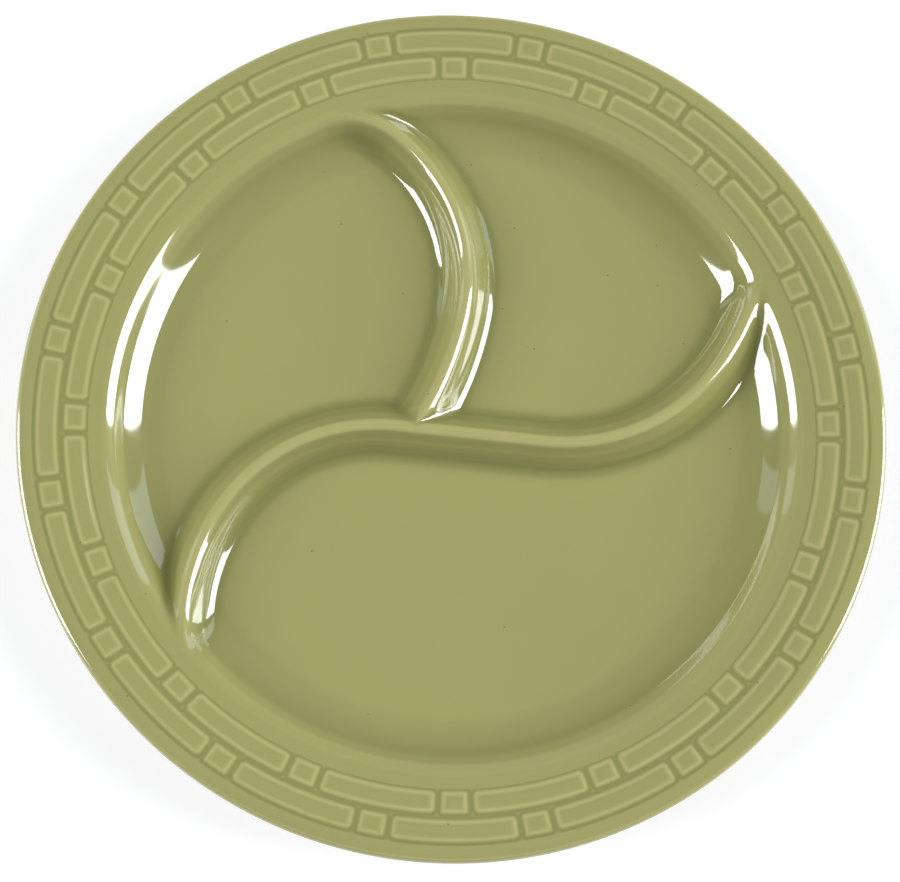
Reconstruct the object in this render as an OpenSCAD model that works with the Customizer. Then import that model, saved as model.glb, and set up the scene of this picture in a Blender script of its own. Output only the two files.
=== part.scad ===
/* [Plate] */
// Outer diameter over the lip
plate_d = 260; // [220:1:320]
// Thickness of the floor, wall and shoulder
body_t = 6; // [4:0.25:7.5]

/* [Well] */
// Radius of the cove between floor and wall
cove_r = 15; // [9:0.5:20]
// Straight part of the wall between cove and shoulder
wall_len = 3.75; // [0.5:0.25:12]
// Radius of the shoulder between wall and rim
shoulder_r = 6.7; // [4:0.1:12]
// Radius of the turn under the shoulder
under_r = 4; // [2:0.5:8]
// Slope of the wall from level
wall_angle = 47; // [40:1:65]

/* [Rim] */
// Width of the rim from the shoulder to the crown
rim_w = 17.8; // [12:0.2:24]
// Slope of the rim from level
rim_angle = 11; // [8:0.5:24]
// Radius of the crown that the rim rolls over
crown_r = 14; // [8:0.5:24]
// How far the crown has turned down where the lip starts
lip_angle = 12; // [10:1:40]
// Radius of the round lip
lip_r = 1.6; // [1.2:0.1:3]

/* [Foot ring] */
// Height of the foot ring
foot_h = 3.5; // [2:0.25:6]
// Width of the foot ring where it meets the floor
foot_w = 7.5; // [5:0.25:12]
// Distance from the foot ring in to the edge of the floor
foot_inset = 5; // [3:0.5:20]
// How far each side of the foot ring draws in on its way down
foot_draft = 1; // [0.25:0.25:1.75]
// Radius of the foot ring's standing edge
foot_edge_r = 1.2; // [0.4:0.1:1.6]

/* [Dividers] */
// Height of the crest over the floor
divider_h = 7.8; // [5:0.1:12]
// Radius of the crest
crest_r = 2.5; // [1.5:0.1:4]
// Radius of the fillet at the divider's root
root_r = 4; // [2:0.1:6]
// Steepest slope of the divider's flanks from level
flank_angle = 52; // [46:1:70]
// How far each flank bows, as a turn from the crest and from the root to its steepest slope
flank_bow = 8; // [2:1:16]
// Least thickness that the divider runs out to
toe_t = 0.2; // [0.15:0.05:0.6]
// Clearance where the short divider laps the long one
lap_gap = 0.05; // [0.02:0.01:0.1]

/* [Woven border] */
// Number of stakes round the rim, always even
stakes = 32; // [16:2:48]
// Width of the woven border
weave_w = 15.4; // [10:0.2:24]
// Distance from the shoulder out to the border
weave_inset = 3.8; // [0.5:0.1:6]
// Gap between the two rows, and between a splint and a stake
weave_gap = 1; // [0.4:0.1:2]
// Width of a stake
stake_w = 8.5; // [4:0.5:12]
// Height of a splint over the rim
splint_h = 0.6; // [0.3:0.05:1.5]
// Height of a stake over the rim
stake_h = 0.45; // [0.3:0.05:1.5]

/* [Hidden] */

glaze = [0.62, 0.63, 0.40];
raised_glaze = [0.69, 0.68, 0.45];
bare_clay = [0.80, 0.75, 0.65];

// Steps in each turn of the section's arcs
cove_steps = 9;
shoulder_steps = 7;
crown_steps = 6;
lip_steps = 10;
edge_steps = 4;

// The section is drawn from the lip inwards, each arc tangent to the next.
plate_r = plate_d / 2;
crown_x = plate_r - lip_r - (crown_r - lip_r) * sin(lip_angle);
rim_x = crown_x - crown_r * sin(rim_angle) - rim_w;
wall_x = rim_x - shoulder_r * (sin(wall_angle) - sin(rim_angle));
floor_r = wall_x - wall_len * cos(wall_angle) - cove_r * sin(wall_angle);

floor_z = foot_h + body_t;
wall_z = floor_z + cove_r * (1 - cos(wall_angle)) + wall_len * sin(wall_angle);
rim_z = wall_z + shoulder_r * (cos(rim_angle) - cos(wall_angle));
crown_z = rim_z + rim_w * tan(rim_angle) - crown_r * cos(rim_angle);

cove_centre = [floor_r, floor_z + cove_r];
shoulder_centre = [rim_x + shoulder_r * sin(rim_angle), rim_z - shoulder_r * cos(rim_angle)];
crown_centre = [crown_x, crown_z];
lip_centre = crown_centre + (crown_r - lip_r) * [sin(lip_angle), cos(lip_angle)];

// The rim's underside runs straight from under the shoulder to the lip.
under_centre = shoulder_centre + (shoulder_r - body_t - under_r) * [-sin(wall_angle), cos(wall_angle)];
under_run = lip_centre - under_centre;
under_angle = atan2(under_run.y, under_run.x) - asin((under_r + lip_r) / norm(under_run));

function arc(centre, r, from, to, steps) =
    [for (i = [0 : steps]) let (a = from + (to - from) * i / steps) centre + r * [cos(a), sin(a)]];

// Upper surface from the floor's edge to the lip, as points of radius and height
upper = concat(
    arc(cove_centre, cove_r, 270, 270 + wall_angle, cove_steps),
    arc(shoulder_centre, shoulder_r, 90 + wall_angle, 90 + rim_angle, shoulder_steps),
    arc(crown_centre, crown_r, 90 + rim_angle, 90 - lip_angle, crown_steps));
lip = arc(lip_centre, lip_r, 90 - lip_angle, under_angle - 90, lip_steps);
lower = concat(
    arc(under_centre, under_r, 90 + under_angle, 90 + wall_angle, shoulder_steps),
    arc(cove_centre, cove_r + body_t, 270 + wall_angle, 270, cove_steps));

// Height of the upper surface at a radius
surface = concat([[0, floor_z]], upper);
function surface_z(r) = lookup(r, surface);

// Half of the divider's section, crest to root: height over the floor at a distance from the crest.
// The crest and the root hand over to a flank that bows out above its middle and in below it.
turn_angle = flank_angle - flank_bow;
flank_h = divider_h - (crest_r + root_r) * (1 - cos(turn_angle));
flank_r = flank_h / 2 / (cos(turn_angle) - cos(flank_angle));
divider_half_w = (crest_r + root_r) * sin(turn_angle) + 2 * flank_r * (sin(flank_angle) - sin(turn_angle));
crest_centre = [0, divider_h - crest_r];
root_centre = [divider_half_w, root_r];
turn_way = [sin(turn_angle), cos(turn_angle)];
upper_flank_centre = crest_centre + (crest_r - flank_r) * turn_way;
lower_flank_centre = root_centre + (flank_r - root_r) * turn_way;
section_steps = 5;
flank_steps = 3;
divider_section = concat(
    arc(crest_centre, crest_r, 90, 90 - turn_angle, section_steps),
    arc(upper_flank_centre, flank_r, 90 - turn_angle, 90 - flank_angle, flank_steps),
    arc(lower_flank_centre, flank_r, 270 - flank_angle, 270 - turn_angle, flank_steps),
    arc(root_centre, root_r, 270 - turn_angle, 270, section_steps));

// A divider's line is a chain of runs. Each run has a length, as a share of the well's radius,
// and the angle through which it turns left.
// Both lines run on past the shoulder, where the rim takes them in.
long_start_share = [-0.740, -0.708];
long_start_heading = 102.8;
long_shares = [[0.488, -46], [0.569, -62.4], [0.429, 0], [0.521, 53.2], [0.411, 35.6]];
long_rings = [14, 15, 9, 14, 12];
// The short line starts just off the long one's crest.
short_start_share = [-0.107, -0.002];
short_start_heading = 57.5;
short_shares = [[0.363, 21], [0.597, 62], [0.182, 36], [0.08, 0]];
short_rings = [14, 18, 7, 3];

// Share of the half width at which each point of a ring lies
ring_shares = [-1, -0.85, -0.7, -0.56, -0.43, -0.3, -0.19, -0.09, 0,
               0.09, 0.19, 0.3, 0.43, 0.56, 0.7, 0.85, 1];
// How sharply the corners between dividers and wall are turned
corner_power = 2.5;
// Length over which the short divider rises out of the long one, as a share of the half width
start_share = 0.7;
// Width of the slope that leads up to the lap, as a share of the half width
lead_share = 0.25;
least_share = 0.001;
// How far the wall and the dividers pull beyond their own top, as a share of their width, short of the border
border_margin = 0.1;
soft_share = min(0.22, (weave_inset - border_margin) / (rim_x - floor_r));
// Outer edge of the dividers' spread over the rim
spread_share = 0.97;
spread_r = rim_x + spread_share * soft_share * (rim_x - floor_r);

function station_after(at, length, turn) =
    turn == 0 ? at + [length * cos(at.z), length * sin(at.z), 0] :
    let (r = length * 180 / (turn * PI), to = at.z + turn)
    [at.x + r * (sin(to) - sin(at.z)), at.y - r * (cos(to) - cos(at.z)), to];
function stations(at, shares, rings, i = 0) =
    i == len(shares) ? [at] :
    let (run = [shares[i].x * rim_x, shares[i].y])
    concat([for (k = [0 : rings[i] - 1]) station_after(at, run.x * k / rings[i], run.y * k / rings[i])],
           stations(station_after(at, run.x, run.y), shares, rings, i + 1));

function within_spread(line) = [for (s = line) if (norm([s.x, s.y]) < spread_r) s];
long_start = [long_start_share.x * rim_x, long_start_share.y * rim_x, long_start_heading];
long_line = within_spread(stations(long_start, long_shares, long_rings));
short_start = [short_start_share.x * rim_x, short_start_share.y * rim_x, short_start_heading];
short_line = within_spread(stations(short_start, short_shares, short_rings));

// Station of a line that lies nearest to a point
function nearest(p, line) =
    let (gaps = [for (s = line) norm([p.x - s.x, p.y - s.y])]) line[search(min(gaps), gaps)[0]];
// Distance of a point from a line, to the left of its way
function left_of(p, line) = let (s = nearest(p, line)) (p.y - s.y) * cos(s.z) - (p.x - s.x) * sin(s.z);

// How strongly the wall or a divider pulls on a point at a share of the way down from its top
function pull(share) =
    share >= 1 ? 0 : pow((1 + soft_share) / max(share + soft_share, least_share) - 1, corner_power);

// Height over the floor at a point that the wall and the dividers pull on
function raised(p, ridge_pull) =
    let (wall_share = (rim_x - norm([p.x, p.y])) / (rim_x - floor_r),
         wall_pull = pull(wall_share),
         all_pull = wall_pull + ridge_pull,
         share = (1 + soft_share) / (1 + pow(all_pull, 1 / corner_power)) - soft_share,
         near_wall = pow(1 - min(max(wall_share, 0), 1), 2),
         crest = 1 + ((rim_z - floor_z) / divider_h - 1) * near_wall,
         wall_rise = surface_z(rim_x - share * (rim_x - floor_r)) - floor_z,
         divider_rise = lookup(max(share, 0) * divider_half_w, divider_section) * crest)
    all_pull == 0 ? 0 : (wall_pull * wall_rise + ridge_pull * divider_rise) / all_pull;

function eased(t) = let (c = min(max(t, 0), 1)) c * c * (3 - 2 * c);
function own_pull(u) = pull(abs(u) / divider_half_w);

// Plan position of a ring's points. A ring ends at the edge of the spread, and on the right at its limit.
function ring(s, right_limit) =
    let (side = [-sin(s.z), cos(s.z)],
         across = s.x * side.x + s.y * side.y,
         reach = sqrt(max(across * across + spread_r * spread_r - s.x * s.x - s.y * s.y, 0)),
         left = min(divider_half_w, reach - across),
         right = min(divider_half_w, reach + across, right_limit))
    [for (k = ring_shares) let (u = k > 0 ? k * left : k * right) [s.x + u * side.x, s.y + u * side.y, u]];

long_rows = [for (s = long_line) [for (p = ring(s, divider_half_w))
    let (z = surface_z(norm([p.x, p.y])), rise = raised(p, own_pull(p.z)) - raised(p, 0))
    [p.x, p.y, z, toe_t + max(rise, 0)]]];

// Distance to the right at which a ring of the short divider meets the long one's crest
least_slant = 0.05;
function crest_limit(s) = left_of(s, long_line) / max(cos(s.z - nearest(s, long_line).z), least_slant);

short_rows = [for (s = short_line) [for (p = ring(s, crest_limit(s)))
    let (share = abs(left_of(p, long_line)) / divider_half_w,
         lap = min(max((1 + lead_share - share) / lead_share, 0), 1),
         start_pull = eased(share / start_share),
         long_rise = raised(p, pull(share)) - raised(p, 0),
         rise = raised(p, pull(share) + start_pull * own_pull(p.z)) - raised(p, pull(share)))
    [p.x, p.y, surface_z(norm([p.x, p.y])) + lap * (toe_t + lap_gap) + long_rise, toe_t + max(rise, 0)]]];

// Solid between two surfaces. Each row of points holds plan position, lower height and thickness.
module sheet_solid(rows) {
    n = len(rows);
    m = len(rows[0]);
    top = [for (row = rows) for (p = row) [p.x, p.y, p.z + p[3]]];
    bottom = [for (row = rows) for (p = row) [p.x, p.y, p.z]];
    function t(i, j) = i * m + j;
    function b(i, j) = n * m + i * m + j;
    polyhedron(concat(top, bottom), concat(
        [for (i = [0 : n - 2], j = [0 : m - 2]) each
            [[t(i, j), t(i, j + 1), t(i + 1, j + 1)], [t(i, j), t(i + 1, j + 1), t(i + 1, j)],
             [b(i, j), b(i + 1, j + 1), b(i, j + 1)], [b(i, j), b(i + 1, j), b(i + 1, j + 1)]]],
        [for (i = [0 : n - 2]) each
            [[t(i, 0), t(i + 1, 0), b(i + 1, 0)], [t(i, 0), b(i + 1, 0), b(i, 0)],
             [t(i + 1, m - 1), t(i, m - 1), b(i, m - 1)],
             [t(i + 1, m - 1), b(i, m - 1), b(i + 1, m - 1)]]],
        [for (j = [0 : m - 2]) each
            [[t(0, j + 1), t(0, j), b(0, j)], [t(0, j + 1), b(0, j), b(0, j + 1)],
             [t(n - 1, j), t(n - 1, j + 1), b(n - 1, j + 1)],
             [t(n - 1, j), b(n - 1, j + 1), b(n - 1, j)]]]));
}

// The border has two rows. In each row a splint passes over one stake and under the next.
weave_r = rim_x + weave_inset;
row_w = (weave_w - weave_gap) / 2;
inner_row_r = weave_r + row_w / 2;
outer_row_r = weave_r + weave_w - row_w / 2;
stake_pitch = 360 / stakes;
pad_steps = 20;
pad_power = 5;
crown_shares = [-1, -0.8, -0.4, 0, 0.4, 0.8, 1];
// Height left at the edge of a splint or stake, as a share of its full height
edge_share = 0.35;

// Skin over the rim between two radii, highest in the middle
module border_skin(row_r, width, height) {
    low = row_r - width / 2;
    high = row_r + width / 2;
    rotate_extrude() polygon(concat(
        [[low, surface_z(low)]],
        [for (p = upper) if (p.x > low && p.x < high) p],
        [[high, surface_z(high)]],
        [for (k = [len(crown_shares) - 1 : -1 : 0])
            let (c = crown_shares[k], r = row_r + c * width / 2)
            [r, surface_z(r) + height * (1 - (1 - edge_share) * c * c)]]));
}

function signed_power(v, e) = sign(v) * pow(abs(v), e);
// Outline of a splint or stake, a rounded rectangle bent round the plate's axis
module pad_outline(row_r, width, length) {
    half_turn = length / row_r * 90 / PI;
    polygon([for (i = [0 : pad_steps - 1])
        let (a = 360 * i / pad_steps,
             r = row_r + width / 2 * signed_power(sin(a), 2 / pad_power),
             turn = half_turn * signed_power(cos(a), 2 / pad_power))
        r * [cos(turn), sin(turn)]]);
}

module border_row(row_r, first, length, height) {
    intersection() {
        border_skin(row_r, row_w, height);
        for (i = [first : 2 : stakes - 1])
            rotate([0, 0, i * stake_pitch])
            linear_extrude(crown_centre.y + crown_r + body_t) pad_outline(row_r, row_w, length);
    }
}
function splint_len(row_r) = 4 * PI * row_r / stakes - stake_w - 2 * weave_gap;

module plate_body() {
    color(glaze)
    rotate_extrude() polygon(concat([[0, floor_z]], upper, lip, lower, [[0, foot_h]]));
}

module foot_ring() {
    out_r = floor_r - foot_inset;
    in_r = out_r - foot_w;
    side = atan2(foot_draft, foot_h);
    in_edge = [in_r + foot_draft + foot_edge_r, foot_edge_r];
    out_edge = [out_r - foot_draft - foot_edge_r, foot_edge_r];
    color(bare_clay)
    rotate_extrude() polygon(concat(
        [[out_r, foot_h], [in_r, foot_h]],
        arc(in_edge, foot_edge_r, 180 + side, 270, edge_steps),
        arc(out_edge, foot_edge_r, 270, 360 - side, edge_steps)));
}

module long_divider() { color(glaze) sheet_solid(long_rows); }

module short_divider() { color(glaze) sheet_solid(short_rows); }

module outer_splints() { color(raised_glaze) border_row(outer_row_r, 0, splint_len(outer_row_r), splint_h); }

module inner_splints() { color(raised_glaze) border_row(inner_row_r, 1, splint_len(inner_row_r), splint_h); }

module outer_stakes() { color(raised_glaze) border_row(outer_row_r, 1, stake_w, stake_h); }

module inner_stakes() { color(raised_glaze) border_row(inner_row_r, 0, stake_w, stake_h); }

plate_body();
foot_ring();
long_divider();
short_divider();
outer_splints();
inner_splints();
outer_stakes();
inner_stakes();
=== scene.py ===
import math

import bmesh
import bpy
import numpy as np
from mathutils import Matrix, Vector


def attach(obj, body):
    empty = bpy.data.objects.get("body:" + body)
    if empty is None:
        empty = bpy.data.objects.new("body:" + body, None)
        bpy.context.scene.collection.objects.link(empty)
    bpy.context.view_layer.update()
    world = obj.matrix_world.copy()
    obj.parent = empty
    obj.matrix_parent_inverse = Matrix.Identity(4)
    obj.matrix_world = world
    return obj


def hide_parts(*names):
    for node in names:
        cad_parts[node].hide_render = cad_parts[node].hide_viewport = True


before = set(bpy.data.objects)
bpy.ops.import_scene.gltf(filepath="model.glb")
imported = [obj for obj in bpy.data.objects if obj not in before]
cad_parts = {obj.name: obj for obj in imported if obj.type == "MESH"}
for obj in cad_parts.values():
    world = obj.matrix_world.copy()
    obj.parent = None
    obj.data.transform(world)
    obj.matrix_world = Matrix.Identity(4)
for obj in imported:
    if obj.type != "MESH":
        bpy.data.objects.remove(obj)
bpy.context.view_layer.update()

MM = 0.001
QUARTER = math.pi / 2
FAR = 1e9
TINY = 1e-9
LEAST_LENGTH = 1e-6

# Sizes of the plate's section as in the part's source, in millimetres and radians
PLATE_R = 130.0
BODY_T = 6.0
COVE_R = 15.0
WALL_LEN = 3.75
WALL_ANGLE = math.radians(47)
SHOULDER_R = 6.7
UNDER_R = 4.0
RIM_W = 17.8
RIM_ANGLE = math.radians(11)
CROWN_R = 14.0
LIP_ANGLE = math.radians(12)
LIP_R = 1.6
FOOT_H = 3.5
FOOT_W = 7.5
FOOT_INSET = 5.0
FOOT_DRAFT = 1.0
FOOT_EDGE_R = 1.2

LIP_REACH = CROWN_R - LIP_R
CROWN_X = PLATE_R - LIP_R - LIP_REACH * math.sin(LIP_ANGLE)
CROWN_START = CROWN_X - CROWN_R * math.sin(RIM_ANGLE)
RIM_X = CROWN_START - RIM_W
WALL_X = RIM_X - SHOULDER_R * (math.sin(WALL_ANGLE) - math.sin(RIM_ANGLE))
FLOOR_R = WALL_X - WALL_LEN * math.cos(WALL_ANGLE) - COVE_R * math.sin(WALL_ANGLE)
COVE_END = FLOOR_R + COVE_R * math.sin(WALL_ANGLE)
WELL_REACH = RIM_X - FLOOR_R

FLOOR_Z = FOOT_H + BODY_T
WALL_Z = FLOOR_Z + COVE_R * (1 - math.cos(WALL_ANGLE)) + WALL_LEN * math.sin(WALL_ANGLE)
RIM_Z = WALL_Z + SHOULDER_R * (math.cos(RIM_ANGLE) - math.cos(WALL_ANGLE))
CROWN_Z = RIM_Z + RIM_W * math.tan(RIM_ANGLE) - CROWN_R * math.cos(RIM_ANGLE)

SHOULDER_CENTRE = (RIM_X + SHOULDER_R * math.sin(RIM_ANGLE), RIM_Z - SHOULDER_R * math.cos(RIM_ANGLE))
LIP_CENTRE = (CROWN_X + LIP_REACH * math.sin(LIP_ANGLE), CROWN_Z + LIP_REACH * math.cos(LIP_ANGLE))

# The wall swells a little under the shoulder and sinks a little over the cove, which shapes its highlights.
WALL_MIDDLE = (COVE_END + WALL_X) / 2
WALL_BOW = 0.09
WALL_BOW_REACH = 2.0

# Dividers
DIVIDER_H = 7.8
CREST_R = 2.5
ROOT_R = 4.0
FLANK_ANGLE = math.radians(52)
TURN_ANGLE = math.radians(44)
FLANK_H = DIVIDER_H - (CREST_R + ROOT_R) * (1 - math.cos(TURN_ANGLE))
FLANK_R = FLANK_H / 2 / (math.cos(TURN_ANGLE) - math.cos(FLANK_ANGLE))
HALF_W = ((CREST_R + ROOT_R) * math.sin(TURN_ANGLE)
          + 2 * FLANK_R * (math.sin(FLANK_ANGLE) - math.sin(TURN_ANGLE)))


def divider_line(start_share, heading, runs):
    """A divider's line. Each run has a length, as a share of the well's radius, and a turn to the left."""
    start = (start_share[0] * RIM_X, start_share[1] * RIM_X)
    return start, heading, [(length_share * RIM_X, turn) for length_share, turn in runs]


LONG_LINE = divider_line((-0.740, -0.708), 102.8,
                         ((0.488, -46), (0.569, -62.4), (0.429, 0), (0.521, 53.2), (0.411, 35.6)))
SHORT_LINE = divider_line((-0.107, -0.002), 57.5,
                          ((0.363, 21), (0.597, 62), (0.182, 36), (0.08, 0)))

# Woven border
STAKES = 32
WEAVE_W = 15.4
WEAVE_INSET = 3.8
WEAVE_GAP = 1.0
STAKE_W = 8.5
ROW_W = (WEAVE_W - WEAVE_GAP) / 2
INNER_ROW_R = RIM_X + WEAVE_INSET + ROW_W / 2
OUTER_ROW_R = RIM_X + WEAVE_INSET + WEAVE_W - ROW_W / 2
ROW_SEAM_R = (INNER_ROW_R + OUTER_ROW_R) / 2
BORDER_END_R = 125.2

# Pads as the glaze softens them: lower than the solids, with sloping sides, round corners and crowned backs
SPLINT_H = 0.44
STAKE_H = 0.36
PAD_SLOPE = 2.7
SPLINT_CORNER = 1.8
STAKE_CORNER = 1.0
PAD_CROWN_SHARE = 0.15
SPLINT_DIP_SHARE = 0.3

# How the dividers flow into the wall and into each other
CORNER_POWER = 2.5
START_SHARE = 0.7
BORDER_MARGIN = 0.1
SPREAD_SHARE = 0.97
LEAST_SHARE = 1e-3
MOST_SOFT_SHARE = 0.22
SOFT_SHARE = min(MOST_SOFT_SHARE, (WEAVE_INSET - BORDER_MARGIN) / WELL_REACH)
SPREAD_R = RIM_X + SPREAD_SHARE * SOFT_SHARE * WELL_REACH


# Forms of the upper surface
def circle(radius, offset):
    """Height of a circle over its centre at a distance from it."""
    return np.sqrt(np.maximum(radius ** 2 - offset ** 2, 0))


def section_height(r):
    """Height of the turned upper surface at a radius."""
    cove = FLOOR_Z + COVE_R - circle(COVE_R, r - FLOOR_R)
    wall = WALL_Z - (WALL_X - r) * math.tan(WALL_ANGLE)
    shoulder = SHOULDER_CENTRE[1] + circle(SHOULDER_R, SHOULDER_CENTRE[0] - r)
    rim = RIM_Z + (r - RIM_X) * math.tan(RIM_ANGLE)
    crown = CROWN_Z + circle(CROWN_R, r - CROWN_X)
    height = np.select([r < FLOOR_R, r < COVE_END, r < WALL_X, r < RIM_X, r < CROWN_START],
                       [np.full_like(r, FLOOR_Z), cove, wall, shoulder, rim], crown)
    bow = (r - WALL_MIDDLE) / WALL_BOW_REACH
    return height + WALL_BOW * bow * np.exp(-bow * bow)


def divider_section(u):
    """Height of a divider over the floor at a distance from its crest."""
    crest_edge = CREST_R * math.sin(TURN_ANGLE)
    middle = crest_edge + FLANK_R * (math.sin(FLANK_ANGLE) - math.sin(TURN_ANGLE))
    root_edge = HALF_W - ROOT_R * math.sin(TURN_ANGLE)
    shift = FLANK_R * math.sin(TURN_ANGLE)
    crest = DIVIDER_H - CREST_R + circle(CREST_R, u)
    upper = (DIVIDER_H - CREST_R * (1 - math.cos(TURN_ANGLE)) - FLANK_R * math.cos(TURN_ANGLE)
             + circle(FLANK_R, u - crest_edge + shift))
    lower = (ROOT_R * (1 - math.cos(TURN_ANGLE)) + FLANK_R * math.cos(TURN_ANGLE)
             - circle(FLANK_R, root_edge + shift - u))
    root = ROOT_R - circle(ROOT_R, HALF_W - u)
    return np.select([u < crest_edge, u < middle, u < root_edge, u < HALF_W],
                     [crest, upper, lower, root], 0.0)


def left_of(x, y, line):
    """Distance of points from a divider's line, positive on the left of its way."""
    (px, py), heading, runs = line
    heading = math.radians(heading)
    nearest = np.full(x.shape, FAR)
    for length, turn in runs:
        turn = math.radians(turn)
        if turn == 0:
            dx, dy = math.cos(heading), math.sin(heading)
            along = (x - px) * dx + (y - py) * dy
            off = (y - py) * dx - (x - px) * dy
            ex, ey = px + length * dx, py + length * dy
        else:
            radius = length / turn
            cx, cy = px - radius * math.sin(heading), py + radius * math.cos(heading)
            start = math.atan2(py - cy, px - cx)
            angle = (np.arctan2(y - cy, x - cx) - start) * np.sign(turn)
            angle = (angle + math.pi - abs(turn) / 2) % (2 * math.pi) - math.pi + abs(turn) / 2
            along = angle * abs(radius)
            off = np.sign(turn) * (abs(radius) - np.hypot(x - cx, y - cy))
            ex = cx + radius * math.sin(heading + turn)
            ey = cy - radius * math.cos(heading + turn)
        past = np.where(along < 0, np.hypot(x - px, y - py), np.hypot(x - ex, y - ey))
        off = np.where((along < 0) | (along > length), np.where(off < 0, -past, past), off)
        nearest = np.where(np.abs(off) < np.abs(nearest), off, nearest)
        px, py, heading = ex, ey, heading + turn
    return nearest


def from_crest(x, y):
    """Distance of points from the nearest divider's line."""
    return np.minimum(np.abs(left_of(x, y, LONG_LINE)), np.abs(left_of(x, y, SHORT_LINE)))


def smooth(t):
    """Eases from nought to one."""
    t = np.clip(t, 0, 1)
    return t * t * (3 - 2 * t)


def pull(share):
    """How strongly the wall or a divider pulls on a point at a share of the way down from its top."""
    return ((1 + SOFT_SHARE) / np.clip(share + SOFT_SHARE, LEAST_SHARE, 1 + SOFT_SHARE) - 1) ** CORNER_POWER


def well_height(x, y):
    """Floor, wall and dividers, flowing into each other."""
    r = np.hypot(x, y)
    wall_share = (RIM_X - r) / WELL_REACH
    wall_pull = pull(wall_share)
    off_long = left_of(x, y, LONG_LINE)
    off_short = left_of(x, y, SHORT_LINE)
    short_rise = smooth(off_long / (START_SHARE * HALF_W))
    divider_pull = pull(np.abs(off_long) / HALF_W) + short_rise * pull(np.abs(off_short) / HALF_W)
    all_pull = wall_pull + divider_pull
    share = (1 + SOFT_SHARE) / (1 + all_pull ** (1 / CORNER_POWER)) - SOFT_SHARE
    crest_growth = 1 + ((RIM_Z - FLOOR_Z) / DIVIDER_H - 1) * (1 - np.clip(wall_share, 0, 1)) ** 2
    wall_rise = section_height(RIM_X - share * WELL_REACH) - FLOOR_Z
    divider_rise = divider_section(np.maximum(share, 0) * HALF_W) * crest_growth
    rise = (wall_pull * wall_rise + divider_pull * divider_rise) / np.maximum(all_pull, TINY)
    return np.where(r < SPREAD_R, FLOOR_Z + np.where(all_pull > 0, rise, 0), section_height(r))


def pad_edge(along, across, half_length, half_width, corner):
    """Distance inwards from the outline of a rounded pad."""
    qx = np.abs(along) - half_length + corner
    qy = np.abs(across) - half_width + corner
    return corner - np.hypot(np.maximum(qx, 0), np.maximum(qy, 0)) - np.minimum(np.maximum(qx, qy), 0)


def border_pads(r, angle):
    """For both rows of the border: distance inwards from each pad's outline, and the pad's crowned height."""
    pitch = 2 * math.pi / STAKES
    pads = []
    for row_r, splint_at in ((OUTER_ROW_R, 0), (INNER_ROW_R, 1)):
        splint_half = (4 * math.pi * row_r / STAKES - STAKE_W - 2 * WEAVE_GAP) / 2
        across = r - row_r
        crown = 1 - PAD_CROWN_SHARE * np.clip(across / (ROW_W / 2), -1, 1) ** 2
        for at, half, height, corner, dip_share in (
                (splint_at, splint_half, SPLINT_H, SPLINT_CORNER, SPLINT_DIP_SHARE),
                (1 - splint_at, STAKE_W / 2, STAKE_H, STAKE_CORNER, 0)):
            along = ((angle - at * pitch + pitch) % (2 * pitch) - pitch) * row_r
            dip = 1 - dip_share * np.clip(np.abs(along) / half, 0, 1) ** 4
            pads.append((pad_edge(along, across, half, ROW_W / 2, corner), height * crown * dip))
    return pads


def border_height(x, y):
    """Sloping rim with the woven relief on it."""
    r = np.hypot(x, y)
    relief = sum(height * smooth(inward / PAD_SLOPE) for inward, height in border_pads(r, np.arctan2(y, x)))
    return section_height(r) + relief


# Run of the glaze and of painted light: above nought the colour is lighter, below nought darker.
# In the well the glaze runs thin over edges and gathers in hollows as the surface turns close by;
# the turn over a wide reach adds painted shade in hollows and at the dividers' feet,
# and a divider's steep flank gets painted shade.
# On the border it follows the distance inwards from each pad's outline.
FINE_REACH = 0.8
WIDE_REACH = 4.0
DIRECTIONS = 8
HOLLOW_SHARE = 0.5
# Painted shade: a wide darkening of hollows, at the dividers' feet and along the cove.
WIDE_SHADE_SHARE = 1.2
WIDE_SHADE_LIMIT = -0.22
# Painted shade on the dividers' steep flanks.
FLANK_SHADE = 0.25
FLANK_END_SHARE = 0.85
FLANK_FADE_SHARE = 0.5
SLOPE_START = 0.4
SLOPE_FADE = 0.6
SLOPE_STEP = 0.1
# Pad edges: light top, part broken glaze and part painted highlight; dark foot, part gathered glaze and part
# painted shade.
EDGE_BREAK_AND_HIGHLIGHT = 0.5
EDGE_GATHER_AND_SHADE = 0.42
EDGE_TOP = 1.1
EDGE_FOOT = -0.15
EDGE_WIDTH = 0.6
LIP_GATHER = 0.10
LIP_LINE_R = BORDER_END_R - 1.2
LIP_LINE_WIDTH = 0.9


def curvature_of(height, reach, x, y):
    """How sharply a height function turns over at each point, or under where it is below nought."""
    total = np.zeros_like(x)
    for k in range(DIRECTIONS):
        a = 2 * math.pi * k / DIRECTIONS
        total += height(x + reach * math.cos(a), y + reach * math.sin(a))
    return 4 * (height(x, y) - total / DIRECTIONS) / reach ** 2


def well_glaze_and_shade(co):
    """Run of the glaze in the well, with painted shade along the foot of the dividers and on their steep
    flanks.
    """
    x, y, e = co[:, 0], co[:, 1], SLOPE_STEP
    slope = np.hypot(well_height(x + e, y) - well_height(x - e, y),
                     well_height(x, y + e) - well_height(x, y - e)) / (2 * e)
    # On a divider's steep flank the colour is darkened: painted shade.
    on_divider = smooth((FLANK_END_SHARE - from_crest(x, y) / HALF_W) / FLANK_FADE_SHARE)
    flank_shade = FLANK_SHADE * on_divider * smooth((slope - SLOPE_START) / SLOPE_FADE)
    turn = curvature_of(well_height, FINE_REACH, x, y)
    # Painted shade: the turn over a wide reach darkens hollows and the dividers' feet.
    wide_shade = np.clip(curvature_of(well_height, WIDE_REACH, x, y), WIDE_SHADE_LIMIT, 0)
    return np.where(turn < 0, HOLLOW_SHARE * turn, turn) + WIDE_SHADE_SHARE * wide_shade - flank_shade


def bell(offset, width):
    """One at its middle, fading to nought on both sides."""
    return np.exp(-(offset / width) ** 2)


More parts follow.
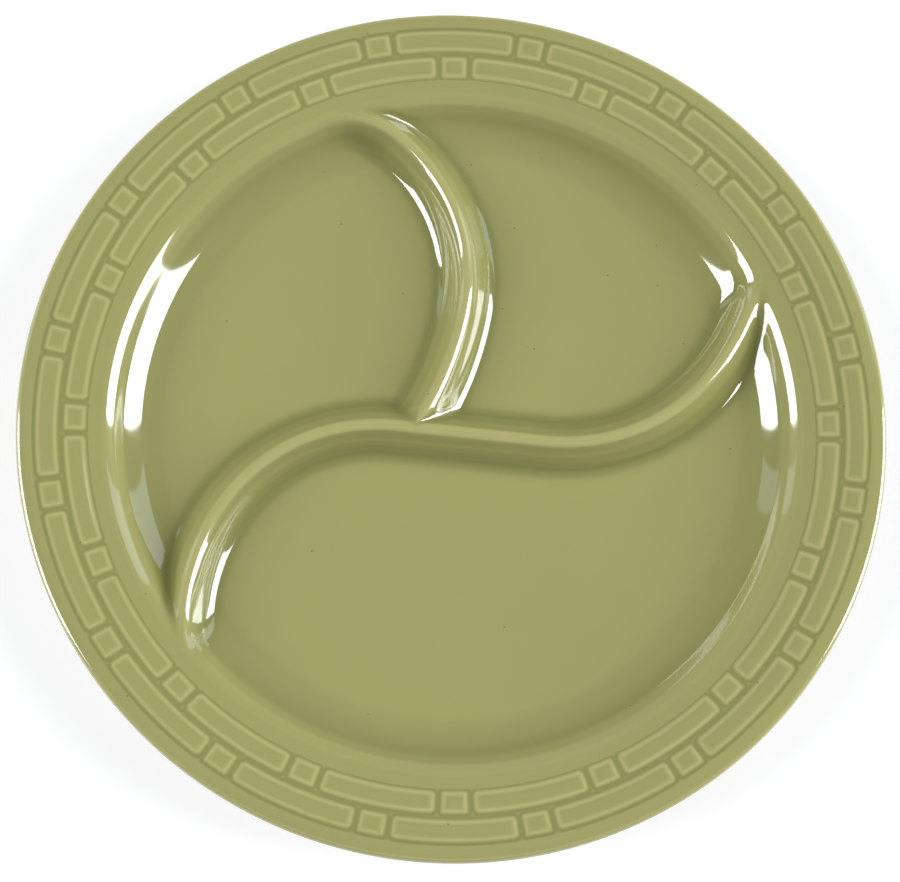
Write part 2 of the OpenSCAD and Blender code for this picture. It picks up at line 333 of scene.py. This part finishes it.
def border_glaze_and_light(co):
    """Pad edges: light tops of broken glaze and painted highlight, dark feet of gathered glaze and painted
    shade; glaze gathers inside the lip.
    """
    r = np.hypot(co[:, 0], co[:, 1])
    pads = border_pads(r, np.arctan2(co[:, 1], co[:, 0]))
    inward = np.max([inward for inward, height in pads], axis=0)
    return (EDGE_BREAK_AND_HIGHLIGHT * bell(inward - EDGE_TOP, EDGE_WIDTH)
            - EDGE_GATHER_AND_SHADE * bell(inward - EDGE_FOOT, EDGE_WIDTH)
            - LIP_GATHER * bell(r - LIP_LINE_R, LIP_LINE_WIDTH))


# Mesh work
MERGE = 1e-5
NORMAL_STEP = 0.02
STEEP_INWARD = 0.4
BATCH = 20000


def arc(centre, radius, start, end, steps):
    """Points of an arc."""
    return [(centre[0] + radius * math.cos(start + (end - start) * i / steps),
             centre[1] + radius * math.sin(start + (end - start) * i / steps)) for i in range(steps + 1)]


def straight(a, b, step):
    """The points between two others, about a step apart."""
    count = max(1, round(math.dist(a, b) / step))
    return [(a[0] + (b[0] - a[0]) * i / count, a[1] + (b[1] - a[1]) * i / count) for i in range(1, count)]


def rings(start, end, step):
    """Radii from start to end, about a step apart."""
    count = max(1, round((end - start) / step))
    return [start + (end - start) * i / count for i in range(count + 1)]


def turned(section, segments):
    """A mesh spun from a section of radius and height."""
    bm = bmesh.new()
    chain = [bm.verts.new((r, 0, z)) for r, z in section]
    for a, b in zip(chain, chain[1:]):
        bm.edges.new((a, b))
    bmesh.ops.spin(bm, geom=bm.verts[:] + bm.edges[:], cent=(0, 0, 0), axis=(0, 0, 1), dvec=(0, 0, 0),
                   angle=2 * math.pi, steps=segments, use_merge=True)
    bmesh.ops.remove_doubles(bm, verts=bm.verts[:], dist=MERGE)
    return bm


def upper_blank(radii, segments):
    """The turned upper surface, before the dividers or the relief lift it."""
    return turned(zip(radii, section_height(np.array(radii)).tolist()), segments)


def refine(bm, near):
    """Quarters the faces round the points that near() picks."""
    bm.verts.ensure_lookup_table()
    co = np.array([v.co for v in bm.verts])
    picked = near(co[:, 0], co[:, 1])
    edges = [e for e in bm.edges if picked[e.verts[0].index] and picked[e.verts[1].index]]
    bmesh.ops.subdivide_edges(bm, edges=edges, cuts=1, use_grid_fill=True)


def near_divider(width):
    """Picks the points within a width of a divider's line."""
    return lambda x, y: from_crest(x, y) < width


def near_pad_edge(width):
    """Picks the points within a width of the steep part of the slope round a pad."""
    def near(x, y):
        pads = border_pads(np.hypot(x, y), np.arctan2(y, x))
        return np.min([np.abs(inward - STEEP_INWARD) for inward, height in pads], axis=0) < width
    return near


def raised_by(height):
    """Lifts points to a height function, and gives the normals of that function."""
    def shape(co):
        x, y, e = co[:, 0], co[:, 1], NORMAL_STEP
        gx = (height(x + e, y) - height(x - e, y)) / (2 * e)
        gy = (height(x, y + e) - height(x, y - e)) / (2 * e)
        n = np.stack([-gx, -gy, np.ones_like(gx)], 1)
        return np.stack([x, y, height(x, y)], 1), n / np.linalg.norm(n, axis=1, keepdims=True)
    return shape


def nearest_on(table, co):
    """Number of the section's point that is nearest to each point."""
    r = np.hypot(co[:, 0], co[:, 1])
    nearest = np.empty(len(co), int)
    for k in range(0, len(co), BATCH):
        part = slice(k, k + BATCH)
        gap = (r[part, None] - table[None, :, 0]) ** 2 + (co[part, 2, None] - table[None, :, 1]) ** 2
        nearest[part] = gap.argmin(1)
    return nearest


def section_shape(section):
    """Leaves a turned piece's points in place, and gives its normals from its section."""
    table = np.array(section)
    step = np.gradient(table, axis=0)
    across = np.stack([-step[:, 1], step[:, 0]], 1)
    across /= np.linalg.norm(across, axis=1, keepdims=True)

    def shape(co):
        out, up = across[nearest_on(table, co)].T
        r = np.maximum(np.hypot(co[:, 0], co[:, 1]), LEAST_LENGTH)
        n = np.stack([out * co[:, 0] / r, out * co[:, 1] / r, up], 1)
        return co, n / np.linalg.norm(n, axis=1, keepdims=True)
    return shape


def section_run(section):
    """Run of the glaze on a turned piece, from how sharply its section turns."""
    table = np.array(section)
    step = np.diff(table, axis=0)
    heading = np.unwrap(np.arctan2(step[:, 1], step[:, 0]))
    length = np.linalg.norm(step, axis=1)
    turn = np.zeros(len(table))
    turn[1:-1] = -np.diff(heading) / np.maximum((length[1:] + length[:-1]) / 2, LEAST_LENGTH)
    turn[0], turn[-1] = turn[1], turn[-2]
    return lambda co: turn[nearest_on(table, co)]


def to_object(name, bm, shape, run, material, slot, *nodes):
    """Makes a piece, in metres, with its shading normals and, as an attribute, the run of its glaze with any
    painted light.
    """
    mesh = bpy.data.meshes.new(name)
    bm.to_mesh(mesh)
    bm.free()
    co = np.empty(len(mesh.vertices) * 3)
    mesh.vertices.foreach_get("co", co)
    co, normal = shape(co.reshape(-1, 3))
    mesh.vertices.foreach_set("co", (co * MM).ravel())
    attribute = mesh.attributes.new("glaze_and_painted_light", "FLOAT", "POINT")
    attribute.data.foreach_set("value", run(co).astype(np.float32))
    mesh.update()
    mesh.polygons.foreach_set("use_smooth", np.ones(len(mesh.polygons), bool))
    mesh.normals_split_custom_set_from_vertices(normal)
    mesh.materials.append(material)
    piece = bpy.data.objects.new(name, mesh)
    bpy.context.scene.collection.objects.link(piece)
    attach(piece, "root")
    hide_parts(*nodes)


# Shader helpers
def node(tree, kind, inputs=None, **settings):
    """Adds a node. Its inputs are links or plain values, by name or number."""
    made = tree.nodes.new(kind)
    for key, value in settings.items():
        setattr(made, key, value)
    for key, value in (inputs or {}).items():
        if isinstance(value, bpy.types.NodeSocket):
            tree.links.new(value, made.inputs[key])
        else:
            made.inputs[key].default_value = value
    return made


def noise(tree, place, scale, detail, roughness=0.5):
    sockets = {"Vector": place, "Scale": scale, "Detail": detail, "Roughness": roughness}
    return node(tree, "ShaderNodeTexNoise", sockets).outputs["Fac"]


def mapped(tree, value, start, end, low=0.0, high=1.0):
    """Maps a value from start and end to low and high, and holds it between them."""
    sockets = {"Value": value, "From Min": start, "From Max": end, "To Min": low, "To Max": high}
    return node(tree, "ShaderNodeMapRange", sockets).outputs["Result"]


def maths(tree, operation, first, second, clamp=False):
    made = node(tree, "ShaderNodeMath", {0: first, 1: second}, operation=operation, use_clamp=clamp)
    return made.outputs[0]


def mixed(tree, factor, first, second):
    """Mixes two colours. A Mix node has them at its inputs 6 and 7, and the mixed one at its output 2."""
    return node(tree, "ShaderNodeMix", {0: factor, 6: first, 7: second}, data_type="RGBA").outputs[2]


def bumped(tree, height, strength, distance):
    sockets = {"Height": height, "Strength": strength, "Distance": distance}
    return node(tree, "ShaderNodeBump", sockets).outputs["Normal"]


def group(name, inputs, outputs):
    """A node group with its named inputs and outputs."""
    tree = bpy.data.node_groups.new(name, "ShaderNodeTree")
    for way, sockets in (("INPUT", inputs), ("OUTPUT", outputs)):
        for label, kind in sockets:
            tree.interface.new_socket(label, in_out=way, socket_type="NodeSocket" + kind)
    return tree, tree.nodes.new("NodeGroupInput").outputs, tree.nodes.new("NodeGroupOutput").inputs


def shaded(name):
    """A new material, with its node tree, its shader and the place on the object in metres."""
    material = bpy.data.materials.new(name)
    material.use_nodes = True
    tree = material.node_tree
    return material, tree, tree.nodes["Principled BSDF"], node(tree, "ShaderNodeTexCoord").outputs["Object"]


# Shared effects of the glaze and the clay
def glaze_and_light_colour_group():
    """Colour of a glaze that breaks lighter over edges and gathers darker in hollows, with the painted
    highlight and painted shade in its run.
    """
    tree, given, out = group("glaze_and_painted_light_colour", (
        ("Place", "Vector"), ("Run", "Float"), ("Body", "Color"), ("Broken_and_highlight", "Color"), ("Pooled_and_shade", "Color"),
        ("Break_and_highlight_amount", "Float"), ("Pool_and_shade_amount", "Float")), (("Colour", "Color"),))
    cloud = noise(tree, given["Place"], scale=28.0, detail=4.0, roughness=0.55)
    drift = mapped(tree, cloud, start=0.3, end=0.7, low=-0.04, high=0.04)
    # Towards the broken colour: glaze breaking, and on the border a painted highlight.
    thin = mapped(tree, given["Run"], start=0.04, end=0.5)
    thin = maths(tree, "MULTIPLY", thin, given["Break_and_highlight_amount"])
    thin = maths(tree, "ADD", thin, drift, clamp=True)
    # Towards the gathered colour: pooled glaze, and painted shade.
    deep = mapped(tree, given["Run"], start=-0.02, end=-0.5)
    deep = maths(tree, "MULTIPLY", deep, given["Pool_and_shade_amount"], clamp=True)
    light = mixed(tree, thin, given["Body"], given["Broken_and_highlight"])
    tree.links.new(mixed(tree, deep, light, given["Pooled_and_shade"]), out["Colour"])
    return tree


def specks_group():
    """Mask of the pinholes and iron specks in stoneware."""
    tree, given, out = group("glaze_specks", (("Place", "Vector"), ("Scale", "Float"), ("Share", "Float")),
                             (("Mask", "Float"),))
    cells = node(tree, "ShaderNodeTexVoronoi", {"Vector": given["Place"], "Scale": given["Scale"]})
    dot = mapped(tree, cells.outputs["Distance"], start=0.16, end=0.08)
    parts = node(tree, "ShaderNodeSeparateColor", {"Color": cells.outputs["Color"]})
    chosen = maths(tree, "LESS_THAN", parts.outputs[0], given["Share"])
    tree.links.new(maths(tree, "MULTIPLY", dot, chosen), out["Mask"])
    return tree


def glaze_skin_group():
    """Height and roughness of a fired glaze: a faint long ripple and a fine haze."""
    tree, given, out = group("glaze_skin", (("Place", "Vector"),),
                             (("Height", "Float"), ("Roughness", "Float")))
    ripple = noise(tree, given["Place"], scale=110.0, detail=2.0, roughness=0.4)
    haze = noise(tree, given["Place"], scale=60.0, detail=3.0)
    tree.links.new(ripple, out["Height"])
    tree.links.new(mapped(tree, haze, start=0.3, end=0.7, low=0.05, high=0.075), out["Roughness"])
    return tree


COLOUR = glaze_and_light_colour_group()
SPECKS = specks_group()
SKIN = glaze_skin_group()


def speckled(tree, place, colour, speck, scale, share):
    """A colour with specks on a share of the cells of a scale."""
    mask = node(tree, "ShaderNodeGroup", {"Place": place, "Scale": scale, "Share": share}, node_tree=SPECKS)
    return mixed(tree, mask.outputs["Mask"], colour, speck)


# Materials
GLAZE_BODY = (0.360, 0.354, 0.131, 1)
# The broken colour also paints highlight lines on the pads' edges; the gathered colour also paints shade in
# the well and at the pads' feet.
GLAZE_BROKEN_AND_HIGHLIGHT = (0.49, 0.468, 0.188, 1)
GLAZE_GATHERED_AND_SHADE = (0.218, 0.228, 0.066, 1)
GLAZE_SPECK = (0.16, 0.13, 0.05, 1)
GLAZE_IOR = 2.0
CLAY_DARK = (0.50, 0.41, 0.29, 1)
CLAY_LIGHT = (0.68, 0.60, 0.47, 1)
CLAY_SPECK = (0.22, 0.15, 0.08, 1)
CLAY_ROUGHNESS = 0.85
PAPER_GREY = (0.50, 0.50, 0.50, 1)


def glaze(name, break_and_highlight_amount, gather_and_shade_amount):
    """Glossy sage glaze, which breaks and gathers, with its painted highlight and painted shade, by these
    amounts.
    """
    material, tree, shader, place = shaded(name)
    # The run carries painted shade and painted highlight as well as the glaze's own run.
    run = node(tree, "ShaderNodeAttribute", attribute_name="glaze_and_painted_light").outputs["Fac"]
    colour = node(tree, "ShaderNodeGroup", {
        "Place": place, "Run": run, "Body": GLAZE_BODY, "Broken_and_highlight": GLAZE_BROKEN_AND_HIGHLIGHT, "Pooled_and_shade": GLAZE_GATHERED_AND_SHADE,
        "Break_and_highlight_amount": break_and_highlight_amount, "Pool_and_shade_amount": gather_and_shade_amount}, node_tree=COLOUR).outputs["Colour"]
    skin = node(tree, "ShaderNodeGroup", {"Place": place}, node_tree=SKIN).outputs
    colour = speckled(tree, place, colour, GLAZE_SPECK, scale=520.0, share=0.012)
    bump = bumped(tree, skin["Height"], strength=0.12, distance=0.00012)
    tree.links.new(colour, shader.inputs["Base Color"])
    tree.links.new(skin["Roughness"], shader.inputs["Roughness"])
    tree.links.new(bump, shader.inputs["Normal"])
    shader.inputs["IOR"].default_value = GLAZE_IOR
    return material


def clay(name):
    """Bare buff stoneware with specks and a fine grain."""
    material, tree, shader, place = shaded(name)
    cloud = noise(tree, place, scale=90.0, detail=6.0, roughness=0.6)
    colour = mixed(tree, cloud, CLAY_DARK, CLAY_LIGHT)
    colour = speckled(tree, place, colour, CLAY_SPECK, scale=700.0, share=0.1)
    grain = noise(tree, place, scale=1800.0, detail=3.0)
    bump = bumped(tree, grain, strength=0.5, distance=0.0001)
    tree.links.new(colour, shader.inputs["Base Color"])
    tree.links.new(bump, shader.inputs["Normal"])
    shader.inputs["Roughness"].default_value = CLAY_ROUGHNESS
    return material


def pale_paper(name):
    """White paper that keeps the object's shadow. Its glow is seen, also mirrored, but lights nothing."""
    material, tree, shader, place = shaded(name)
    tree.nodes.remove(shader)
    ray = node(tree, "ShaderNodeLightPath").outputs
    seen = maths(tree, "MAXIMUM", ray["Is Camera Ray"], ray["Is Glossy Ray"])
    seen = maths(tree, "MAXIMUM", seen, ray["Is Transmission Ray"])
    from_centre = node(tree, "ShaderNodeVectorMath", {0: place}, operation="LENGTH").outputs["Value"]
    lift = mapped(tree, from_centre, start=0.3, end=1.6, low=0.62, high=1.0)
    lift = maths(tree, "MULTIPLY", seen, lift)
    matt = node(tree, "ShaderNodeBsdfDiffuse", {"Color": PAPER_GREY})
    glow = node(tree, "ShaderNodeEmission", {"Strength": lift})
    both = node(tree, "ShaderNodeAddShader", {0: matt.outputs[0], 1: glow.outputs[0]})
    tree.links.new(both.outputs[0], tree.nodes["Material Output"].inputs["Surface"])
    return material


# The break and gather amounts also scale the painted highlight and painted shade.
glazed_body = glaze("sage_glaze", break_and_highlight_amount=0.8, gather_and_shade_amount=0.78)
glazed_relief = glaze("sage_glaze_on_relief", break_and_highlight_amount=0.95, gather_and_shade_amount=0.75)
bare_clay = clay("bare_stoneware")


# Turned meshes: their segments, how far apart their rings lie, and how near an edge they are finer
SEGMENTS = 360
BASE_SEGMENTS = 240
BORDER_SEGMENTS = 720
FLOOR_STEP = 1.5
WALL_STEP = 0.75
BORDER_STEP = 0.8
CREST_WIDTH = 2.6
PAD_SLOPE_WIDTH = 1.7
PAD_EDGE_WIDTH = 0.9


# Well with its dividers
def make_well():
    radii = rings(0, FLOOR_R, FLOOR_STEP) + rings(FLOOR_R, SPREAD_R, WALL_STEP)[1:]
    bm = upper_blank(radii, SEGMENTS)
    refine(bm, near_divider(HALF_W))
    refine(bm, near_divider(CREST_WIDTH))
    to_object("well_glaze", bm, raised_by(well_height), well_glaze_and_shade, glazed_body, "glazed_body",
              "plate_body", "long_divider", "short_divider")


# Rim with the rows of the woven border
def make_border_row(name, start, end, *nodes):
    bm = upper_blank(rings(start, end, BORDER_STEP), BORDER_SEGMENTS)
    refine(bm, near_pad_edge(PAD_SLOPE_WIDTH))
    refine(bm, near_pad_edge(PAD_EDGE_WIDTH))
    to_object(name, bm, raised_by(border_height), border_glaze_and_light, glazed_relief, "glazed_relief", *nodes)


# Lip, underside and foot ring
UNDER_SHIFT = SHOULDER_R - BODY_T - UNDER_R
UNDER_CENTRE = (SHOULDER_CENTRE[0] - UNDER_SHIFT * math.sin(WALL_ANGLE),
                SHOULDER_CENTRE[1] + UNDER_SHIFT * math.cos(WALL_ANGLE))
FOOT_OUT_R = FLOOR_R - FOOT_INSET
FOOT_IN_R = FOOT_OUT_R - FOOT_W
FOOT_SLOPE = math.atan2(FOOT_DRAFT, FOOT_H)
FOOT_FILLET_R = 1.2

# Steps of the arcs in their sections, and about how far apart the points of the straight runs lie
CROWN_STEPS = 6
LIP_STEPS = 22
UNDER_STEPS = 8
COVE_STEPS = 16
FILLET_STEPS = 6
EDGE_STEPS = 8
UNDER_RIM_STEP = 1.5
UNDER_WALL_STEP = 1.0
OUTER_BASE_STEP = 1.5
INNER_BASE_STEP = 2.0
EDGE_STEP = 0.8

# The glaze ends in a thin rolled edge over the bare clay.
BARE_Z = 1.5
GLAZE_END_H = 0.25
GLAZE_ROLL_H = 0.1
GLAZE_ROLL_T = 0.02
GLAZE_END_T = 0.2


def foot_side(z, out):
    """Radius of the foot ring's outer side, with out 1, or inner side, with out -1. Both draw in below."""
    top_r = FOOT_OUT_R if out > 0 else FOOT_IN_R
    return top_r - out * FOOT_DRAFT * (FOOT_H - z) / FOOT_H


def glaze_end(out):
    """The glaze's rolled edge on one side of the foot ring, from above."""
    r = foot_side(BARE_Z, out)
    return [(foot_side(BARE_Z + GLAZE_END_H, out), BARE_Z + GLAZE_END_H),
            (r - out * GLAZE_ROLL_T, BARE_Z + GLAZE_ROLL_H), (r - out * GLAZE_END_T, BARE_Z)]


def foot_fillet(out, start, end):
    """The fillet between the base and one side of the foot ring."""
    tangent = FOOT_FILLET_R * math.tan((QUARTER - FOOT_SLOPE) / 2)
    centre = (foot_side(FOOT_H, out) + out * tangent, FOOT_H - FOOT_FILLET_R)
    return arc(centre, FOOT_FILLET_R, start, end, FILLET_STEPS)


def underside_section():
    """From the border's end over the lip, back under the rim and the wall, and down the foot's outer side."""
    run = (LIP_CENTRE[0] - UNDER_CENTRE[0], LIP_CENTRE[1] - UNDER_CENTRE[1])
    under_angle = math.atan2(run[1], run[0]) - math.asin((UNDER_R + LIP_R) / math.hypot(*run))
    crown_from = math.acos((BORDER_END_R - CROWN_X) / CROWN_R)
    crown = arc((CROWN_X, CROWN_Z), CROWN_R, crown_from, QUARTER - LIP_ANGLE, CROWN_STEPS)
    lip = arc(LIP_CENTRE, LIP_R, QUARTER - LIP_ANGLE, under_angle - QUARTER, LIP_STEPS)[1:]
    under = arc(UNDER_CENTRE, UNDER_R, QUARTER + under_angle, QUARTER + WALL_ANGLE, UNDER_STEPS)
    cove_centre = (FLOOR_R, FLOOR_Z + COVE_R)
    cove = arc(cove_centre, COVE_R + BODY_T, 3 * QUARTER + WALL_ANGLE, 3 * QUARTER, COVE_STEPS)
    fillet = foot_fillet(1, QUARTER, math.pi - FOOT_SLOPE)
    return (crown + lip + straight(lip[-1], under[0], UNDER_RIM_STEP)
            + under + straight(under[-1], cove[0], UNDER_WALL_STEP)
            + cove + straight(cove[-1], fillet[0], OUTER_BASE_STEP) + fillet + glaze_end(1))


def base_section():
    """From the foot's inner side up to the base and in to its centre."""
    centre = (0, FOOT_H)
    fillet = foot_fillet(-1, FOOT_SLOPE, QUARTER)
    return glaze_end(-1)[::-1] + fillet + straight(fillet[-1], centre, INNER_BASE_STEP) + [centre]


def standing_edge_section():
    """The bare clay between the two ends of the glaze, down to the table and up again."""
    out = (foot_side(0, 1) - FOOT_EDGE_R, FOOT_EDGE_R)
    inner = (foot_side(0, -1) + FOOT_EDGE_R, FOOT_EDGE_R)
    return (glaze_end(1)[-1:] + arc(out, FOOT_EDGE_R, -FOOT_SLOPE, -QUARTER, EDGE_STEPS)
            + straight((out[0], 0), (inner[0], 0), EDGE_STEP)
            + arc(inner, FOOT_EDGE_R, -QUARTER, FOOT_SLOPE - math.pi, EDGE_STEPS) + glaze_end(-1)[-1:])


def make_turned(name, section, segments, material, slot, *nodes):
    bm = turned(section, segments)
    to_object(name, bm, section_shape(section), section_run(section), material, slot, *nodes)


make_well()
make_border_row("inner_row_glaze", SPREAD_R, ROW_SEAM_R, "inner_splints", "inner_stakes")
make_border_row("outer_row_glaze", ROW_SEAM_R, BORDER_END_R, "outer_splints", "outer_stakes")
make_turned("underside_glaze", underside_section(), SEGMENTS, glazed_body, "glazed_body", "plate_body")
make_turned("base_glaze", base_section(), BASE_SEGMENTS, glazed_body, "glazed_body", "foot_ring")
make_turned("foot_standing_edge", standing_edge_section(), SEGMENTS, bare_clay, "bare_clay", "foot_ring")


# Paper that the plate stands on, in metres
PAPER_HALF = 8.0
PAPER_DROP = 0.00005


def make_paper():
    bm = bmesh.new()
    bmesh.ops.create_grid(bm, x_segments=1, y_segments=1, size=PAPER_HALF)
    mesh = bpy.data.meshes.new("floor")
    bm.to_mesh(mesh)
    bm.free()
    mesh.materials.append(pale_paper("pale_paper"))
    floor = bpy.data.objects.new("floor", mesh)
    bpy.context.scene.collection.objects.link(floor)
    floor.location.z = -PAPER_DROP


# Light
WORLD_STRENGTH = 0.06
WHITE = (0.95, 0.965, 1)
PALE_BLUE = (0.80, 0.93, 1)


def make_world():
    world = bpy.data.worlds.new("studio")
    world.use_nodes = True
    bpy.context.scene.world = world
    background = world.node_tree.nodes["Background"]
    background.inputs["Strength"].default_value = WORLD_STRENGTH
    background.inputs["Color"].default_value = (1, 1, 1, 1)


def softbox(name, side, away, heights, ends, lean, turn, radiance, colour):
    """An upright panel, away from the plate on the right with side 1 or on the left with side -1, between
    two heights and two ends along Y, in metres. It leans by its normal's angle from straight up, and turns
    in its own plane."""
    height, width = heights[1] - heights[0], ends[1] - ends[0]
    light = bpy.data.lights.new(name, "AREA")
    light.shape = "RECTANGLE"
    light.size, light.size_y = height, width
    light.energy = radiance * math.pi * height * width
    light.color = colour
    lamp = bpy.data.objects.new(name, light)
    bpy.context.scene.collection.objects.link(lamp)
    a, t = math.radians(lean), math.radians(turn)
    out = Vector((side * math.sin(a), 0, math.cos(a)))
    up = Vector((-side * math.cos(a), 0, math.sin(a))) * math.cos(t) + Vector((0, 1, 0)) * math.sin(t)
    lamp.matrix_world = Matrix((up, out.cross(up), out)).transposed().to_4x4()
    lamp.location = (side * away, sum(ends) / 2, sum(heights) / 2)
    lamp.visible_camera = False


# Camera, fitted to the circles of the plate in the photograph
CAMERA_BACK = (-0.0375, -0.2232, 0.9741)
CAMERA_AIM_X = -1.304
CAMERA_AIM_Y = -6.360
CAMERA_DISTANCE = 0.63218
LENS = 84.83
SENSOR_W = 36


def make_camera():
    back = Vector(CAMERA_BACK).normalized()
    right = Vector((0, 1, 0)).cross(back).normalized()
    data = bpy.data.cameras.new("camera")
    data.lens = LENS
    data.sensor_width = SENSOR_W
    camera = bpy.data.objects.new("camera", data)
    bpy.context.scene.collection.objects.link(camera)
    camera.matrix_world = Matrix((right, back.cross(right), back)).transposed().to_4x4()
    camera.location = Vector((CAMERA_AIM_X, CAMERA_AIM_Y, LIP_CENTRE[1])) * MM + back * CAMERA_DISTANCE
    bpy.context.scene.camera = camera


make_paper()
make_world()
softbox("right_softbox", side=1, away=2.65, heights=(0.33, 3.05), ends=(-0.74, 0.80),
        lean=80, turn=3, radiance=9.9, colour=WHITE)
softbox("left_softbox", side=-1, away=2.5, heights=(0.72, 3.22), ends=(-0.85, 0.75),
        lean=75, turn=4, radiance=8.5, colour=WHITE)
softbox("right_fill", side=1, away=2.65, heights=(0.02, 3.4), ends=(1.30, 2.3),
        lean=85, turn=0, radiance=1.2, colour=PALE_BLUE)
softbox("left_fill", side=-1, away=2.5, heights=(0.3, 2.8), ends=(1.05, 1.5),
        lean=80, turn=0, radiance=0.8, colour=PALE_BLUE)
make_camera()
bpy.context.scene.view_settings.view_transform = "Standard"
